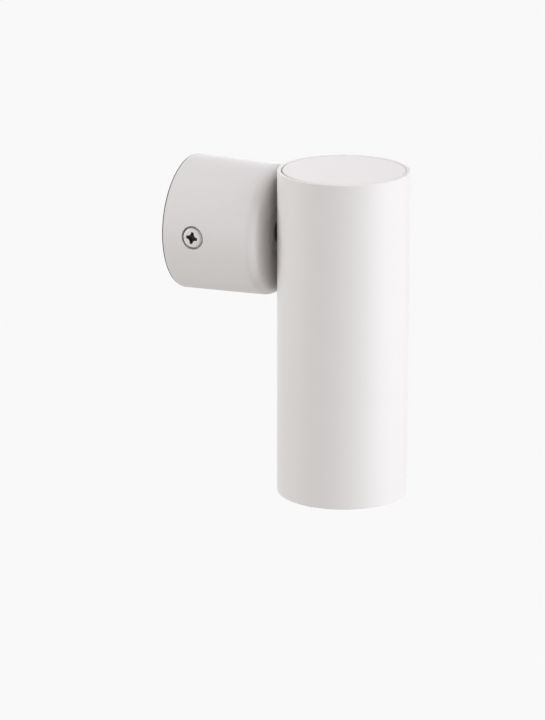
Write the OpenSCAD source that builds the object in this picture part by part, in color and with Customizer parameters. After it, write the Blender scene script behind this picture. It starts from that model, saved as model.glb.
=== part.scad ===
// Wall spotlight: a round cup on the wall and a tube lamp that swivels on the cup's front.
// The wall is the plane y = 0. The light stands out along -Y, +Z is up, and the origin is
// on the cup's axis at the wall. "Out" below is the distance from the wall.

/* [Head tube] */
// Outer diameter of the head tube
tube_d = 60; // [59:0.5:64]
// Length of the head tube
tube_l = 151.5; // [146:0.5:190]
// Wall thickness of the head tube
tube_wall = 2.25; // [2:0.05:2.5]
// Distance from the tube's top rim down to the swivel axis
top_to_axis = 31.5; // [26:0.5:45]
// Radius on the tube's rims
rim_r = 0.35; // [0.1:0.05:0.6]

/* [Top cap] */
// Thickness of the cap, which is also the depth of its seat in the tube
cap_t = 6; // [5:0.25:8]
// Step in the tube's bore that the cap rests on
cap_step = 0.5; // [0.3:0.05:0.8]
// Groove between the cap and the tube
cap_gap = 0.35; // [0.2:0.05:0.5]
// Thickness of the cap's top plate
cap_plate = 2.5; // [2:0.25:3.5]
// Width of the cap's skirt
cap_skirt = 3.8; // [3.4:0.1:6]
// Cord diameter of the cap's O-ring
oring_cord = 1.6; // [1.4:0.1:1.8]

/* [Wall cup] */
// Diameter of the cup at the wall
cup_d = 60.8; // [60:0.2:66]
// Distance from the wall to the cup's front face
cup_l = 44.8; // [44:0.2:56]
// Draft angle of the cup's side
cup_draft = 0.6; // [0.3:0.1:1]
// Radius on the cup's front edge
cup_edge = 3.2; // [2.6:0.1:4]
// Wall thickness of the cup's side
cup_wall = 2.5; // [2.2:0.1:2.8]
// Thickness of the cup's front
cup_front = 3.4; // [3.2:0.1:4]
// Thickness of the gasket at the wall
gasket_t = 0.5; // [0.3:0.1:1]
// Distance that the gasket stays back from the cup's rim, inside and outside
gasket_inset = 0.5; // [0.3:0.1:0.8]

/* [Side screws] */
// Distance from the wall to the side screws
screw_out = 15; // [13:0.5:17]
// Diameter of the side screws' thread
screw_d = 4.9; // [4.7:0.1:5]
// Length of the side screws under the head
screw_l = 10; // [8:0.5:12]
// Diameter of the side screws' heads
head_d = 9.4; // [9:0.1:10]
// Height of the side screws' heads
head_h = 3.2; // [2.8:0.1:3.4]
// Distance from the head's top in to the cup's surface
head_sunk = 0.4; // [0.2:0.1:0.8]
// Diameter of the sunk hole round each head
sunk_d = 11.4; // [11:0.1:12]
// Thickness of the cup's pad under each head
pad_t = 2.6; // [2:0.1:3]
// Diameter of the pad
pad_d = 15; // [14:0.5:17]
// Width of the cross in a head
cross_w = 5.6; // [5:0.1:6]
// Width of one arm of the cross
cross_arm = 1.3; // [1:0.1:1.5]
// Depth of the cross
cross_depth = 2.2; // [1.6:0.1:2.4]
// Turn of the cross, as the screws were left
cross_turn = 9; // [0:1:45]

/* [Swivel joint] */
// Gap between the cup's front face and the tube
joint_gap = 1.6; // [1.2:0.1:3]
// Diameter of the collar's flange
flange_d = 22.4; // [20:0.2:24]
// Thickness of the collar's flange
flange_t = 1.35; // [1:0.05:2]
// Diameter of the collar's hub
hub_d = 12; // [11.5:0.5:14]
// Depth of the recess in the cup that holds the flange
recess_depth = 1.4; // [1:0.1:1.8]
// Gap round the flange in its recess
recess_gap = 0.5; // [0.3:0.1:0.8]
// Thickness of the friction and slide washers
washer_t = 0.5; // [0.3:0.1:0.6]
// Outer diameter of the washers inside the cup
washer_d = 18; // [16:0.5:20]
// Outer diameter of the hollow nipple
nipple_d = 9.9; // [9.5:0.1:10.2]
// Bore of the hollow nipple
nipple_bore = 7.4; // [7:0.1:7.8]
// Distance that the nipple stands out past the nuts at each end
nipple_past = 1.6; // [1:0.2:3]
// Radial clearance of the nipple in what turns on it
run_clear = 0.08; // [0.05:0.01:0.1]
// Gap between flat faces that slide on each other
slide_gap = 0.05; // [0.02:0.01:0.1]
// Thickness of the stop washer
stop_t = 1.2; // [1:0.1:1.6]
// Radius at which the stop washer's tab meets the stop pin
stop_r = 13; // [12:0.5:14]
// Diameter of the stop pin inside the cup
stop_pin_d = 3; // [2.5:0.1:3.2]
// Width of the stop washer's tab
stop_tab_w = 3; // [2.5:0.1:3.2]
// Thickness of the disc spring's metal
disc_t = 0.6; // [0.5:0.1:0.8]
// Cone height of the disc spring
disc_cone = 0.5; // [0.3:0.1:0.7]
// Width across the flats of the nipple's nuts
nut_flats = 14; // [13.5:0.5:15]
// Thickness of each lock nut
lock_nut_t = 3; // [2.5:0.1:3.2]
// Thickness of the nut inside the tube
tube_nut_t = 4; // [3:0.2:5]
// Width of the keyway in the nipple
key_w = 2; // [1.6:0.1:2.4]
// Depth of the keyway in the nipple
key_depth = 0.7; // [0.5:0.05:0.9]

/* [Wall bracket] */
// Gap between the bracket's plate and the inside of the cup
plate_gap = 0.9; // [0.6:0.1:1.2]
// Thickness of the bracket's sheet
plate_t = 1.5; // [1.2:0.1:1.8]
// Width of each ear
ear_w = 14; // [12:0.5:14]
// Inner radius of the ears' bends
bend_r = 0.5; // [0.3:0.1:0.8]
// Distance between the two wall-screw slots
slot_pitch = 32; // [31:0.5:33]
// Width of a wall-screw slot
slot_w = 4.5; // [4:0.1:5]
// Length of a wall-screw slot, end to end
slot_l = 8; // [7:0.5:8.5]
// Height of the cable hole's centre above the axis
cable_up = 9; // [8.5:0.1:10]
// Diameter of the cable hole in the plate
cable_hole_d = 12; // [11:0.5:12.5]
// Bore of the cable grommet
grommet_bore = 8; // [7:0.2:8.4]
// Width and height of the grommet's flange
grommet_lip = 2; // [1.5:0.1:2.2]
// Distance from the plate's edge in to the earth screw
earth_edge = 7.2; // [7:0.1:7.5]
// Angle of the earth screw above the horizontal
earth_turn = 43; // [42:0.5:45]
// Diameter of the earth screw's thread
earth_d = 3.9; // [3.7:0.1:4]
// Thickness of a ring lug
lug_t = 0.8; // [0.6:0.1:1]
// Thickness of a toothed washer
tooth_t = 0.8; // [0.6:0.1:1]
// Clearance of a clinch nut's shank in its ear
clinch_clear = 0.05; // [0.03:0.01:0.1]

/* [Terminal block] */
// Length of the block
block_l = 28; // [27.5:0.25:29]
// Width of the block
block_w = 14; // [13:0.25:14.5]
// Height of the block
block_h = 13; // [12.5:0.1:13.5]
// Distance from the axis down to the block's middle
block_down = 11.5; // [11:0.1:12]
// Distance between poles
pole_pitch = 10; // [9.8:0.1:10]
// Width of a pole
pole_w = 6.8; // [6.4:0.1:7]
// Diameter of a wire hole
wire_hole = 3.4; // [3:0.1:3.6]
// Distance between a clamp's two screws
clamp_screw_pitch = 5.6; // [5.2:0.1:6]

/* [Leads] */
// Outer diameter of a lead
lead_d = 2.2; // [1.8:0.1:2.3]
// Diameter of a lead's bare core
core_d = 1.1; // [0.9:0.1:1.3]
// Radius to which the leads are bent
lead_bend = 3.5; // [2.5:0.25:4]
// Wall thickness of the sleeve round the leads
sleeve_wall = 0.4; // [0.3:0.05:0.5]

/* [Lamp and holder] */
// Diameter of the lamp's face
lamp_d = 50; // [49:0.5:51]
// Length of the lamp from its face to its base
lamp_l = 47; // [45:0.5:50]
// Distance from the tube's mouth in to the lamp's face
lamp_recess = 14; // [8:0.5:20]
// Diameter of the lamp's neck
neck_d = 26; // [24:0.5:28]
// Distance between the lamp's pins
pin_pitch = 10; // [9.8:0.1:10.2]
// Diameter of a pin's neck
pin_d = 3; // [2.8:0.1:3.2]
// Diameter of a pin's head
pin_head_d = 5; // [4.8:0.1:5.2]
// Height of a pin's head
pin_head_h = 2.2; // [2:0.1:2.4]
// Length of the pins
pin_l = 7; // [6.6:0.1:7.4]
// Gap round a pin in its slot
pin_clear = 0.35; // [0.3:0.05:0.4]
// Angle through which the lamp turns to unlock
lock_turn = 45; // [40:1:50]
// Diameter of the lampholder
holder_d = 30; // [30:0.5:34]
// Height of the lampholder
holder_h = 14; // [13:0.25:16]
// Thickness of the lampholder's front plate
holder_front = 3.5; // [3:0.1:3.8]
// Gap between the lamp's base and the holder
seat_gap = 0.3; // [0.2:0.05:0.4]
// Distance from the tube's axis to each holder screw
holder_screw_r = 11; // [10.6:0.1:11.5]
// Diameter of the small screws' thread
small_d = 2.9; // [2.7:0.1:3]
// Thickness of the lamp bracket's strip
strip_t = 1.5; // [1.2:0.1:2]
// Width of the lamp bracket's strip
strip_w = 22; // [20:0.5:23]
// Thickness of the saddle at its middle
saddle_t = 3.6; // [3:0.1:4.5]
// Diameter of the saddle
saddle_d = 22; // [20:0.5:23]

/* [Hidden] */
$fn = 96;

// Small amount by which a cut runs past the face it opens
eps = 0.5;

// Fits that several pieces share: room on the diameter of a thread and of a plain hole,
// radial room round an earth screw, and how far a short screw stays back from the wall
thread_ease = 0.1;
hole_ease = 0.3;
ring_ease = 0.15;
wall_back = 0.3;

// Small pan heads and their crosses
small_head_d = 5.4;
small_head_h = 2;
small_edge = 0.5;
small_cross_w = 2.8;
small_cross_arm = 0.6;
small_cross_depth = 1;

// Colours of the real pieces
white = [0.90, 0.90, 0.89];
zinc = [0.72, 0.73, 0.74];
brass_tone = [0.80, 0.66, 0.36];
nylon = [0.88, 0.86, 0.80];
dark = [0.16, 0.16, 0.17];
steatite = [0.93, 0.91, 0.86];

// Head tube and cap
tube_r = tube_d / 2;
bore_r = tube_r - tube_wall;
seat_r = bore_r + cap_step;
axis_out = cup_l + joint_gap + tube_r;
tube_top = top_to_axis;
tube_bottom = top_to_axis - tube_l;
tube_near = axis_out - tube_r;
cap_r = seat_r - cap_gap;
cap_bottom = tube_top - cap_t;
oring_squeeze = 0.05;
oring_mid_r = seat_r - oring_squeeze - oring_cord / 2;
oring_groove_w = oring_cord + 0.4;
oring_groove_r = oring_mid_r - oring_cord / 2 - 0.05;
oring_up = cap_bottom + cap_t * 0.45;

// Cup
cup_r = cup_d / 2;
cup_inner_r = cup_r - cup_wall;
cup_inner_l = cup_l - cup_front;
inner_edge = cup_edge - 1.2;
head_edge = 1.1;
// Radius of the cup's outside at a distance from the wall
function cup_r_at(out) = cup_r - tan(cup_draft) * (out - gasket_t);
side_face = cup_r_at(screw_out);
head_floor = side_face - head_sunk - head_h;
pad_face = head_floor - pad_t;
screw_hole_d = screw_d + 0.5;

// Swivel stack, from the cup's front inwards and from the tube's wall inwards
nipple_r = nipple_d / 2;
run_r = nipple_r + run_clear;
thread_clear = 0.03;
recess_floor = cup_l - recess_depth;
flange_back = recess_floor + washer_t + slide_gap;
slide_back = cup_inner_l - washer_t;
stop_front = slide_back - slide_gap;
stop_back = stop_front - stop_t;
disc_back = stop_back - disc_t - disc_cone;
lock_gap = 0.05;
lock_back = disc_back - 2 * lock_nut_t - lock_gap;
nipple_back = lock_back - nipple_past;
wall_inside = axis_out - bore_r;
strip_out = wall_inside + saddle_t;
lug_out = strip_out + strip_t;
tube_lug_r = nut_flats / 2 + 0.5;
tooth_out = lug_out + lug_t;
nut_out = tooth_out + tooth_t;
nipple_front = nut_out + tube_nut_t + nipple_past;
sleeve_back = nipple_back - 1;
sleeve_front = nipple_front + 2;
stop_pin_l = washer_t + slide_gap + stop_t + 0.6;

// Bracket
plate_r = cup_inner_r - plate_gap;
earth_x = (plate_r - earth_edge) * cos(earth_turn);
earth_up = (plate_r - earth_edge) * sin(earth_turn);
ear_gap = 0.1;
ear_face = pad_face - ear_gap;
ear_relief = 1;
outer_bend = bend_r + plate_t;
clinch_shank_r = 3.2;
clinch_body_r = 4.2;
clinch_body_t = 3.4;
earth_head_d = 7.6;
earth_head_h = 2.6;
earth_head_edge = 0.8;
earth_cross_w = 4.2;
earth_cross_arm = 0.9;
earth_cross_depth = 1.5;
earth_lug_r = 3.8;
earth_tooth_r = 3.9;
grommet_r = cable_hole_d / 2;

// Terminal block
base_h = 4;
clamp_w = 4.6;
clamp_l = 9.6;
clamp_h = 5;
clamp_up = 7;
clamp_clear = 0.1;
clamp_screw_d = 2.5;
clamp_head_d = 3.8;
clamp_head_h = 1.6;
clamp_head_edge = 0.3;
clamp_head_rise = 1;
clamp_slot_depth = 0.8;
poles = [-pole_pitch, 0, pole_pitch];
wire_out = plate_t + clamp_up;

// Leads
lead_r = lead_d / 2;
lead_space = 0.04;
lead_sides = 10;
bend_step = 18;
// A direction that no lead runs along, from which each ring's points are counted
lead_side = [0.35, 0.2, 0.9];
bundle_r = (lead_d + lead_space) / sqrt(3);
sleeve_r = bundle_r + lead_r + 0.3 + sleeve_wall;
joint_space = 0.3;
lug_space = 0.5;
// Straight runs of the leads before they turn
block_run = 4;
bond_run = 3;
base_rise = 8;
earth_rise = 9;
earth_run = 6;
live_past = 8;
neutral_past = 4;
earth_past = 5;
lead_drop = 20;
block_top = -block_down + block_w / 2;
bare_top = -block_down + clamp_l / 2;
bare_l = clamp_l - 1;
earth_reach = 6;
lug_reach = 12.5;
base_lead_end = sleeve_back - joint_space;
head_lead_back = sleeve_back + 0.2;
// Places of the three leads in the bundle, as x and height
live_at = [bundle_r * cos(150), bundle_r * sin(150)];
neutral_at = [0, -bundle_r];
earth_at = [bundle_r * cos(30), bundle_r * sin(30)];
barrel_r = lead_r + 0.8;
barrel_bore = lead_r + 0.05;
barrel_l = 5.5;
barrel_ease = 0.4;

// Lamp and holder, as heights on the tube's axis
lamp_face = tube_bottom + lamp_recess;
lamp_base = lamp_face + lamp_l;
pin_tip = lamp_base + pin_l;
pin_r = pin_pitch / 2;
track_relief = 0.05;
track_over = 2;
holder_face = lamp_base + seat_gap;
holder_top = holder_face + holder_h;
cavity_bottom = holder_face + holder_front;
leaf_t = 0.8;
leaf_bottom = pin_tip + 0.3;
cavity_top = leaf_bottom + leaf_t;
strip_top = holder_top + strip_t;
contact_bottom = holder_top - 1.2;
contact_top = strip_top + 2.5;
holder_block = [holder_d * 2 / 3, holder_d * 0.6];
holder_collar = 9;
pillar_wall = 2.4;
pilot_l = 8;
holder_screw_grip = 6.5;
lens_t = 2.2;
lens_sunk = 0.6;
lens_r = lamp_d / 2 - 2.6;
board_t = 1.6;
board_gap = 5.5;

// Turns a shape so that its x stays X, its y points up and its z runs out of the wall
module from_wall() {
    rotate([90, 0, 0]) children();
}

// Puts a shape on the head tube's axis
module on_tube() {
    translate([0, -axis_out, 0]) children();
}

// A point given as sideways place, distance from the wall and height
function at(x, out, up) = [x, -out, up];

// Flat ring or pipe
module ring(r_out, r_in, h) {
    difference() {
        cylinder(r = r_out, h = h);
        translate([0, 0, -eps]) cylinder(r = r_in, h = h + 2 * eps);
    }
}

// Box that is centred in x and y and stands on z = 0
module block(size) {
    translate([-size.x / 2, -size.y / 2, 0]) cube(size);
}

// Outline to take away from a square corner at a point to leave it round
module corner_cut(x, y, r, to_x, to_y) {
    translate([x, y]) mirror([to_x > 0 ? 1 : 0, 0]) mirror([0, to_y > 0 ? 1 : 0]) difference() {
        translate([-eps, -eps]) square(r + eps);
        translate([r, r]) circle(r);
    }
}

// Outline of half a pan head, for turning about the y axis
module pan_outline(r, h, edge) {
    square([r - edge, h]);
    square([r, h - edge]);
    translate([r - edge, h - edge]) circle(edge);
}

// Screw with a pan head that stands on z = 0 and a shank that runs down from it
module pan_screw(thread_d, under_head, head_w, head_height, edge) {
    rotate_extrude() difference() {
        pan_outline(head_w / 2, head_height, edge);
        translate([-head_w, -eps]) square([head_w, head_height + 2 * eps]);
    }
    translate([0, 0, -under_head]) cylinder(d = thread_d, h = under_head + eps);
}

// Cross in a screw's head, cut down from z = 0
module cross_cut(width, arm, depth) {
    for (turn = [0, 90]) {
        rotate(turn) translate([-width / 2, -arm / 2, -depth * 0.6]) cube([width, arm, depth]);
    }
    translate([0, 0, -depth]) cylinder(r1 = arm * 0.5, r2 = arm * 1.3, h = depth);
    cylinder(r = arm * 1.3, h = eps);
}

// Small screw with a pan head and a cross, standing as pan_screw does
module small_screw(under_head) {
    difference() {
        pan_screw(small_d, under_head, small_head_d, small_head_h, small_edge);
        translate([0, 0, small_head_h]) cross_cut(small_cross_w, small_cross_arm, small_cross_depth);
    }
}

function unit(v) = v / norm(v);
// Direction of a path's leg that starts at a corner
function leg(p, i) = unit(p[i + 1] - p[i]);
// Angle through which a path turns at a corner
function turn_at(p, i) = acos(leg(p, i - 1) * leg(p, i));
// Length that a bend takes from each leg at a corner, none at the path's ends
function trim_at(p, i, bend) = i == 0 || i == len(p) - 1 ? 0 : bend * tan(turn_at(p, i) / 2);

// Points round the bend at a corner of a path
function bend_points(p, i, bend) =
    let (
        before = leg(p, i - 1),
        after = leg(p, i),
        inward = unit(after - (before * after) * before),
        centre = p[i] - trim_at(p, i, bend) * before + bend * inward,
        steps = ceil(turn_at(p, i) / bend_step)
    )
    [for (k = [0 : steps]) let (a = turn_at(p, i) * k / steps)
        centre + bend * (sin(a) * before - cos(a) * inward)];

// Path with its corners rounded
function round_path(p, bend) = concat(
    [p[0]],
    [for (i = [1 : len(p) - 2]) each bend_points(p, i, bend)],
    [p[len(p) - 1]]
);

// Ring of points round a place on a path, square to the path
function lead_ring(q, i, r) =
    let (
        along = unit(q[min(i + 1, len(q) - 1)] - q[max(i - 1, 0)]),
        u = unit(cross(along, lead_side)),
        v = cross(along, u)
    )
    [for (k = [0 : lead_sides - 1]) let (a = 360 * k / lead_sides)
        q[i] + r * (cos(a) * u + sin(a) * v)];

// Lead along a path, with round bends at its corners and a bare core before its start
module lead(p, bend = lead_bend, bare = 0) {
    core = bare > 0 ? [p[0] - bare * leg(p, 0), p[0]] : [];
    q = concat(core, round_path(p, bend));
    n = lead_sides;
    points = [for (i = [0 : len(q) - 1]) each lead_ring(q, i, i < len(core) ? core_d / 2 : lead_r)];
    walls = [for (i = [0 : len(q) - 2], k = [0 : n - 1]) let (
        a = i * n + k,
        b = i * n + (k + 1) % n
    ) each [[a, b, b + n], [a, b + n, a + n]]];
    ends = [
        [for (k = [n - 1 : -1 : 0]) k],
        [for (k = [0 : n - 1]) (len(q) - 1) * n + k]
    ];
    polyhedron(points, concat(walls, ends));
}

// Hexagon nut with a plain bore
module hex_nut(flats, h, bore) {
    difference() {
        cylinder(d = flats / cos(30), h = h, $fn = 6);
        translate([0, 0, -eps]) cylinder(r = bore, h = h + 2 * eps);
    }
}

// Washer with teeth round its edge
module toothed_ring(r_out, r_in, h, teeth) {
    notch = r_out * 0.32;
    difference() {
        ring(r_out, r_in, h);
        for (i = [0 : teeth - 1]) {
            rotate(i * 360 / teeth) translate([r_out, 0, -eps]) block([notch, notch * 0.8, h + 2 * eps]);
        }
    }
}

// Outline of one ear and its bend, in sideways place and distance from the wall
module ear_outline() {
    bend_x = ear_face - outer_bend;
    translate([bend_x - plate_t, 0]) square([plate_t, plate_t]);
    translate([bend_x, outer_bend]) intersection() {
        difference() {
            circle(outer_bend);
            circle(bend_r);
        }
        translate([0, -outer_bend]) square(outer_bend);
    }
    translate([ear_face - plate_t, outer_bend]) square([plate_t, screw_out - outer_bend]);
}

module wall_bracket() {
    cut_x = ear_face - outer_bend - plate_t / 2;
    color(zinc) from_wall() difference() {
        union() {
            difference() {
                cylinder(r = plate_r, h = plate_t);
                for (side = [0, 1]) mirror([side, 0, 0]) {
                    translate([cut_x, -ear_w / 2 - ear_relief, -eps])
                        cube([plate_r, ear_w + 2 * ear_relief, plate_t + 2 * eps]);
                }
            }
            for (side = [0, 1]) mirror([side, 0, 0]) {
                translate([0, ear_w / 2, 0]) rotate([90, 0, 0]) linear_extrude(ear_w) ear_outline();
                translate([ear_face - plate_t, 0, screw_out]) rotate([0, 90, 0])
                    cylinder(d = ear_w, h = plate_t);
            }
        }
        for (side = [0, 1]) mirror([side, 0, 0]) {
            translate([ear_face - plate_t - eps, 0, screw_out]) rotate([0, 90, 0])
                cylinder(r = clinch_shank_r, h = plate_t + 2 * eps);
            translate([slot_pitch / 2, 0, -eps]) {
                block([slot_l - slot_w, slot_w, plate_t + 2 * eps]);
                for (end = [-1, 1]) translate([end * (slot_l - slot_w) / 2, 0, 0])
                    cylinder(d = slot_w, h = plate_t + 2 * eps);
            }
        }
        translate([0, cable_up, -eps]) cylinder(d = cable_hole_d, h = plate_t + 2 * eps);
        translate([earth_x, earth_up, -eps]) cylinder(d = earth_d + thread_ease, h = plate_t + 2 * eps);
        for (x = [-pole_pitch / 2, pole_pitch / 2]) translate([x, -block_down, -eps])
            cylinder(d = small_d + thread_ease, h = plate_t + 2 * eps);
    }
}

module clinch_nuts() {
    color(zinc) from_wall() for (side = [0, 1]) mirror([side, 0, 0]) {
        translate([ear_face, 0, screw_out]) rotate([0, -90, 0]) difference() {
            union() {
                cylinder(r = clinch_shank_r - clinch_clear, h = plate_t);
                translate([0, 0, plate_t]) cylinder(r = clinch_body_r, h = clinch_body_t);
            }
            translate([0, 0, -eps])
                cylinder(r = screw_d / 2 + thread_clear, h = plate_t + clinch_body_t + 2 * eps);
        }
    }
}

module cable_grommet() {
    color(dark) from_wall() translate([0, cable_up, 0]) {
        ring(grommet_r, grommet_bore / 2, plate_t);
        translate([0, 0, plate_t]) ring(grommet_r + grommet_lip, grommet_bore / 2, grommet_lip);
    }
}

module wall_gasket() {
    color(dark) from_wall() ring(cup_r - gasket_inset, cup_inner_r + gasket_inset, gasket_t);
}

// Half outline of the cup's outside or inside, with a round front edge, about the y axis
module cup_outline(r_wall, base, front, edge) {
    mid = front - edge;
    mid_r = r_wall + (tan(cup_draft) * (base - mid)) - edge / cos(cup_draft);
    polygon([
        [0, base], [r_wall, base],
        [mid_r + edge * cos(cup_draft), mid + edge * sin(cup_draft)],
        [mid_r, front], [0, front]
    ]);
    translate([mid_r, mid]) circle(edge);
}

module wall_cup() {
    color(white) from_wall() difference() {
        union() {
            rotate_extrude() difference() {
                cup_outline(cup_r, gasket_t, cup_l, cup_edge);
                translate([0, -eps]) square([cup_inner_r, gasket_t + 2 * eps]);
                cup_outline(cup_inner_r, gasket_t, cup_inner_l, inner_edge);
            }
            for (side = [0, 1]) mirror([side, 0, 0])
                translate([pad_face, 0, screw_out]) rotate([0, 90, 0])
                    cylinder(d = pad_d, h = head_floor + cup_wall / 2 - pad_face);
            translate([0, stop_r, cup_inner_l - stop_pin_l]) cylinder(d = stop_pin_d, h = stop_pin_l + eps);
        }
        for (side = [0, 1]) mirror([side, 0, 0]) translate([0, 0, screw_out]) rotate([0, 90, 0]) {
            translate([0, 0, head_floor]) cylinder(d = sunk_d, h = cup_wall * 3);
            translate([0, 0, pad_face - eps]) cylinder(d = screw_hole_d, h = pad_t + 2 * eps);
        }
        translate([0, 0, recess_floor])
            cylinder(r = flange_d / 2 + recess_gap, h = recess_depth + eps);
        translate([0, 0, cup_inner_l - eps]) cylinder(r = run_r, h = cup_front + 2 * eps);
    }
}

module cup_screws() {
    color(white) from_wall() for (side = [0, 1]) mirror([side, 0, 0]) {
        translate([head_floor, 0, screw_out]) rotate([0, 90, 0]) rotate(cross_turn) difference() {
            pan_screw(screw_d, screw_l, head_d, head_h, head_edge);
            translate([0, 0, head_h]) cross_cut(cross_w, cross_arm, cross_depth);
        }
    }
}

module terminal_block() {
    color(nylon) from_wall() translate([0, -block_down, plate_t]) difference() {
        union() {
            block([block_l, block_w, base_h]);
            for (x = poles) translate([x, 0, 0]) block([pole_w, block_w, block_h]);
        }
        for (x = poles) translate([x, 0, clamp_up]) {
            rotate([90, 0, 0]) cylinder(d = wire_hole, h = block_w + 2 * eps, center = true);
            translate([0, 0, -(clamp_h + clamp_clear) / 2])
                block([clamp_w + clamp_clear, clamp_l + clamp_clear, clamp_h + clamp_clear]);
            for (end = [-1, 1]) translate([0, end * clamp_screw_pitch / 2, 0])
                cylinder(d = clamp_head_d + hole_ease, h = block_h);
        }
        for (x = [-pole_pitch / 2, pole_pitch / 2]) translate([x, 0, 0]) {
            translate([0, 0, -eps]) cylinder(d = small_d + hole_ease, h = base_h + 2 * eps);
            translate([0, 0, base_h]) cylinder(d = small_head_d + hole_ease, h = block_h);
        }
    }
}

module terminal_clamps() {
    color(brass_tone) from_wall() translate([0, -block_down, plate_t + clamp_up]) for (x = poles) {
        translate([x, 0, 0]) difference() {
            translate([0, 0, -clamp_h / 2]) block([clamp_w, clamp_l, clamp_h]);
            rotate([90, 0, 0]) cylinder(d = wire_hole - hole_ease, h = clamp_l + 2 * eps, center = true);
            for (end = [-1, 1]) translate([0, end * clamp_screw_pitch / 2, 0])
                cylinder(d = clamp_screw_d + thread_ease, h = clamp_h);
        }
    }
}

// Slot across a small screw's head, cut down from z = 0
module slot_cut(width, depth) {
    translate([0, 0, -depth]) block([width * 2, width * 0.2, depth + eps]);
}

module terminal_screws() {
    head_up = clamp_h / 2 + clamp_head_rise;
    shank = head_up - core_d / 2 - thread_ease * 2;
    color(zinc) from_wall() translate([0, -block_down, plate_t + clamp_up]) {
        for (x = poles, end = [-1, 1]) translate([x, end * clamp_screw_pitch / 2, head_up]) difference() {
            pan_screw(clamp_screw_d, shank, clamp_head_d, clamp_head_h, clamp_head_edge);
            translate([0, 0, clamp_head_h]) slot_cut(clamp_head_d, clamp_slot_depth);
        }
    }
}

module block_screws() {
    color(zinc) from_wall() for (x = [-pole_pitch / 2, pole_pitch / 2]) {
        translate([x, -block_down, plate_t + base_h]) small_screw(base_h + plate_t - wall_back);
    }
}

module earth_screw() {
    stack = tooth_t + 2 * lug_t;
    color(zinc) from_wall() translate([earth_x, earth_up, plate_t + stack]) difference() {
        pan_screw(earth_d, stack + plate_t - wall_back, earth_head_d, earth_head_h, earth_head_edge);
        translate([0, 0, earth_head_h]) cross_cut(earth_cross_w, earth_cross_arm, earth_cross_depth);
    }
}

module earth_washer() {
    color(zinc) from_wall() translate([earth_x, earth_up, plate_t])
        toothed_ring(earth_tooth_r, earth_d / 2 + ring_ease, tooth_t, 8);
}

// Ring lug whose barrel stands up from its edge, at a distance from the ring's centre
module ring_lug(hole_r, ring_r, reach) {
    difference() {
        union() {
            cylinder(r = ring_r, h = lug_t);
            translate([0, -barrel_r, 0]) cube([reach, 2 * barrel_r, lug_t]);
            translate([reach, 0, 0]) cylinder(r = barrel_r, h = lug_t + barrel_l);
        }
        translate([0, 0, -eps]) cylinder(r = hole_r, h = lug_t + 2 * eps);
        translate([reach, 0, lug_t]) cylinder(r = barrel_bore, h = barrel_l + eps);
    }
}

module earth_lugs() {
    color(zinc) from_wall() translate([earth_x, earth_up, plate_t + tooth_t]) {
        rotate(-90) ring_lug(earth_d / 2 + ring_ease, earth_lug_r, earth_reach);
        translate([0, 0, lug_t]) rotate(90) ring_lug(earth_d / 2 + ring_ease, earth_lug_r, earth_reach);
    }
}

module base_lead_live() {
    color("saddlebrown") lead([
        at(poles[0], wire_out, bare_top), at(poles[0], wire_out, block_top + block_run),
        at(live_at.x, wire_out + base_rise, live_at.y), at(live_at.x, base_lead_end, live_at.y)
    ], bare = bare_l);
}

module base_lead_neutral() {
    color("steelblue") lead([
        at(poles[1], wire_out, bare_top), at(poles[1], wire_out, neutral_at.y),
        at(neutral_at.x, base_lead_end, neutral_at.y)
    ], bend = lead_bend - 0.5, bare = bare_l);
}

module base_lead_earth() {
    start = plate_t + tooth_t + 2 * lug_t + lug_space;
    color("olivedrab") lead([
        at(earth_x, start, earth_up + earth_reach), at(earth_x, start + earth_rise, earth_up + earth_reach),
        at(earth_at.x, base_lead_end - earth_run, earth_at.y), at(earth_at.x, base_lead_end, earth_at.y)
    ]);
}

module earth_bond() {
    start = plate_t + tooth_t + lug_t + lug_space;
    color("olivedrab") lead([
        at(poles[2], wire_out, bare_top), at(poles[2], wire_out, block_top + bond_run),
        at(earth_x, start + earth_rise, earth_up - earth_reach), at(earth_x, start, earth_up - earth_reach)
    ], bend = lead_bend - 1, bare = bare_l);
}

module friction_washer() {
    color(nylon) from_wall() translate([0, 0, recess_floor]) ring(flange_d / 2 - 0.4, run_r, washer_t);
}

module slide_washer() {
    color(nylon) from_wall() translate([0, 0, slide_back]) ring(washer_d / 2, run_r, washer_t);
}

module stop_washer() {
    tab_end = stop_r + stop_pin_d / 2;
    color(zinc) from_wall() translate([0, 0, stop_back]) {
        difference() {
            union() {
                cylinder(d = washer_d, h = stop_t);
                translate([-stop_tab_w / 2, -tab_end, 0]) cube([stop_tab_w, tab_end, stop_t]);
            }
            translate([0, 0, -eps]) cylinder(r = run_r, h = stop_t + 2 * eps);
        }
        translate([-key_w / 2 + 0.1, nipple_r - key_depth + 0.1, 0])
            cube([key_w - 0.2, key_depth + 0.4, stop_t]);
    }
}

module disc_spring() {
    r_out = washer_d / 2 - 0.5;
    color(zinc) from_wall() translate([0, 0, disc_back]) rotate_extrude() polygon([
        [run_r, 0], [run_r, disc_t], [r_out, disc_t + disc_cone], [r_out, disc_cone]
    ]);
}

module lock_nuts() {
    color(zinc) from_wall() for (i = [0, 1]) translate([0, 0, lock_back + i * (lock_nut_t + lock_gap)])
        hex_nut(nut_flats, lock_nut_t, nipple_r + thread_clear);
}

module swivel_nipple() {
    color(zinc) from_wall() translate([0, 0, nipple_back]) difference() {
        ring(nipple_r, nipple_bore / 2, nipple_front - nipple_back);
        translate([-key_w / 2, nipple_r - key_depth, -eps])
            cube([key_w, key_depth + eps, stop_front - nipple_back + eps]);
    }
}

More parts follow.
